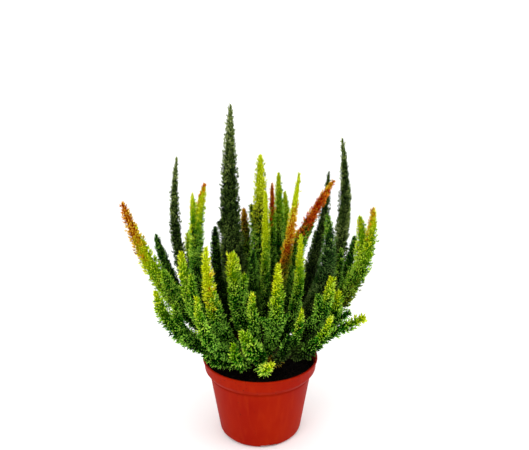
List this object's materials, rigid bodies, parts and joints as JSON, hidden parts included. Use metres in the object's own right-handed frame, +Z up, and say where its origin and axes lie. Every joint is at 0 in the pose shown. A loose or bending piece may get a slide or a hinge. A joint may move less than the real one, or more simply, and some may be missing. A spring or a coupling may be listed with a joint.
{
  "type": "potted heather",
  "caption": "Young heather with many upright leafy shoots, dark green to lime and orange at the tips, growing in peat in a round terracotta-coloured plastic growers' pot.",
  "frame": {"origin": "middle of the pot's flat underside, on the surface that it stands on", "axes": "+Z up along the pot's axis; +X to the right and -Y to the front, as the picture sees it"},
  "size_m": [0.2244, 0.1624, 0.301],
  "materials": {
    "terracotta_plastic": "moulded plastic with a soft sheen and a few specks of peat",
    "peat": "damp, crumbly and matte",
    "bark": "rough and matte",
    "dark_leaves": "small dark green leaves, matte",
    "green_leaves": "small fresh green leaves, satin",
    "lime_leaves": "small lime and yellow leaves, satin",
    "orange_leaves": "small leaves, orange at the tips and green below"
  },
  "bodies": {
    "root": {"pot": "terracotta_plastic", "peat": "peat", "woody_crown": "bark", "shoot_tall_left": "dark_leaves", "shoot_tall_right": "dark_leaves", "shoot_dark_left": "dark_leaves", "shoot_dark_right": "dark_leaves", "shoot_dark_back": "dark_leaves", "shoot_lime_tall": "lime_leaves", "shoot_lime_middle": "lime_leaves", "shoot_red_small": "orange_leaves", "shoot_green_back_a": "green_leaves", "shoot_green_back_b": "green_leaves", "shoot_lime_leaning": "lime_leaves", "shoot_orange_leaning": "orange_leaves", "shoot_green_left": "green_leaves", "shoot_brown_back": "orange_leaves", "shoot_middle_back": "green_leaves", "shoot_far_left": "orange_leaves", "shoot_left_a": "lime_leaves", "shoot_left_low": "green_leaves", "shoot_left_front": "lime_leaves", "shoot_left_inner": "green_leaves", "shoot_broad": "green_leaves", "shoot_front_small": "green_leaves", "shoot_lime_centre": "lime_leaves", "shoot_lime_right": "lime_leaves", "shoot_right_small": "lime_leaves", "shoot_low_left_a": "green_leaves", "shoot_low_left_b": "green_leaves", "shoot_low_left_c": "green_leaves", "shoot_low_front": "lime_leaves", "shoot_low_right": "green_leaves", "shoot_right_a": "lime_leaves", "shoot_right_b": "lime_leaves", "shoot_right_c": "green_leaves", "shoot_right_twig": "green_leaves", "shoot_far_right": "orange_leaves", "shoot_right_middle": "green_leaves", "shoot_rear_a": "green_leaves", "shoot_rear_b": "green_leaves", "shoot_rear_c": "lime_leaves", "shoot_rear_d": "green_leaves", "shoot_rear_e": "lime_leaves", "shoot_rear_f": "green_leaves", "shoot_rear_g": "green_leaves", "shoot_rear_h": "green_leaves"}
  },
  "joints": []
}
